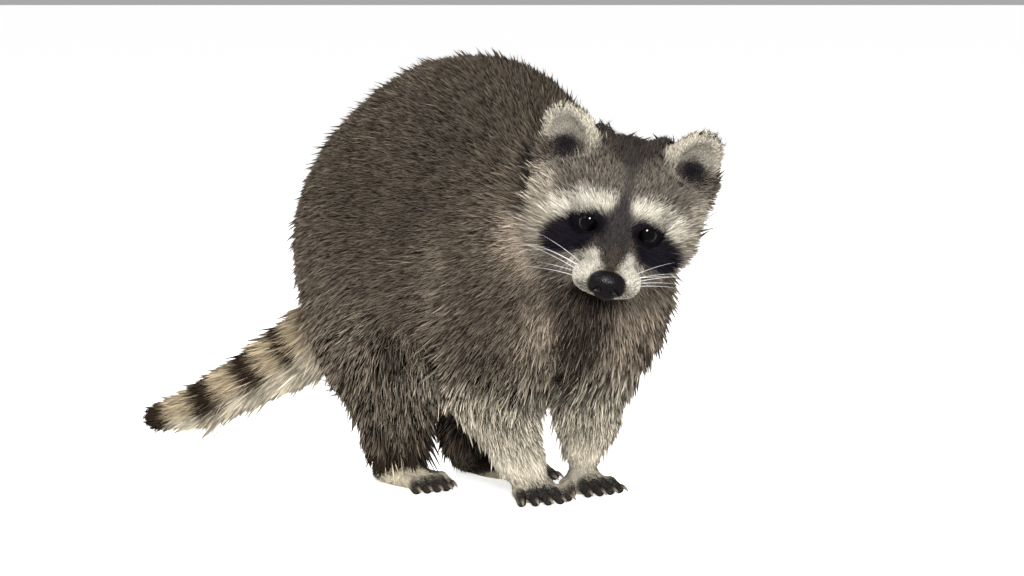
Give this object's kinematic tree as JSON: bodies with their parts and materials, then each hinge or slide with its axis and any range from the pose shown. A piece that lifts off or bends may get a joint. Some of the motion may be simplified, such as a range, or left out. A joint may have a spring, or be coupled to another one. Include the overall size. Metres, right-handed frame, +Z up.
{
  "type": "raccoon",
  "caption": "Life-size raccoon standing on four feet, back hunched, head lowered and turned to its right, ringed tail hanging behind.",
  "frame": {"origin": "on the floor, under the middle of the model's box", "axes": "+X from rump to head, the way the body points; +Y to the animal's left; +Z up"},
  "size_m": [0.5012, 0.2116, 0.3194],
  "materials": {
    "coat": "long grizzled grey-brown hair",
    "dark_coat": "dark brown hair",
    "face_coat": "short grey hair with a black mask and pale brows",
    "pale_coat": "short pale hair",
    "nose_leather": "moist and satin",
    "eye": "glossy and nearly black",
    "claw": "smooth dark horn"
  },
  "bodies": {
    "root": {"belly": "coat", "chest": "coat", "rump": "coat", "neck": "coat", "thigh_left": "coat", "thigh_right": "coat", "upper_arm_left": "coat", "upper_arm_right": "coat", "tail_base": "coat", "tail_middle": "coat", "tail_tip": "dark_coat", "shank_left": "dark_coat", "shank_right": "dark_coat", "head": "face_coat", "lower_jaw": "pale_coat", "muzzle": "pale_coat", "ear_left": "pale_coat", "ear_right": "pale_coat", "forearm_left": "pale_coat", "forearm_right": "pale_coat", "hand_left": "pale_coat", "hand_right": "pale_coat", "foot_left": "pale_coat", "foot_right": "pale_coat", "nose": "nose_leather", "eye_left": "eye", "eye_right": "eye", "claw_fore_left_1": "claw", "claw_fore_left_2": "claw", "claw_fore_left_3": "claw", "claw_fore_left_4": "claw", "claw_fore_left_5": "claw", "claw_fore_right_1": "claw", "claw_fore_right_2": "claw", "claw_fore_right_3": "claw", "claw_fore_right_4": "claw", "claw_fore_right_5": "claw", "claw_hind_left_1": "claw", "claw_hind_left_2": "claw", "claw_hind_left_3": "claw", "claw_hind_left_4": "claw", "claw_hind_left_5": "claw", "claw_hind_right_1": "claw", "claw_hind_right_2": "claw", "claw_hind_right_3": "claw", "claw_hind_right_4": "claw", "claw_hind_right_5": "claw"}
  },
  "joints": []
}
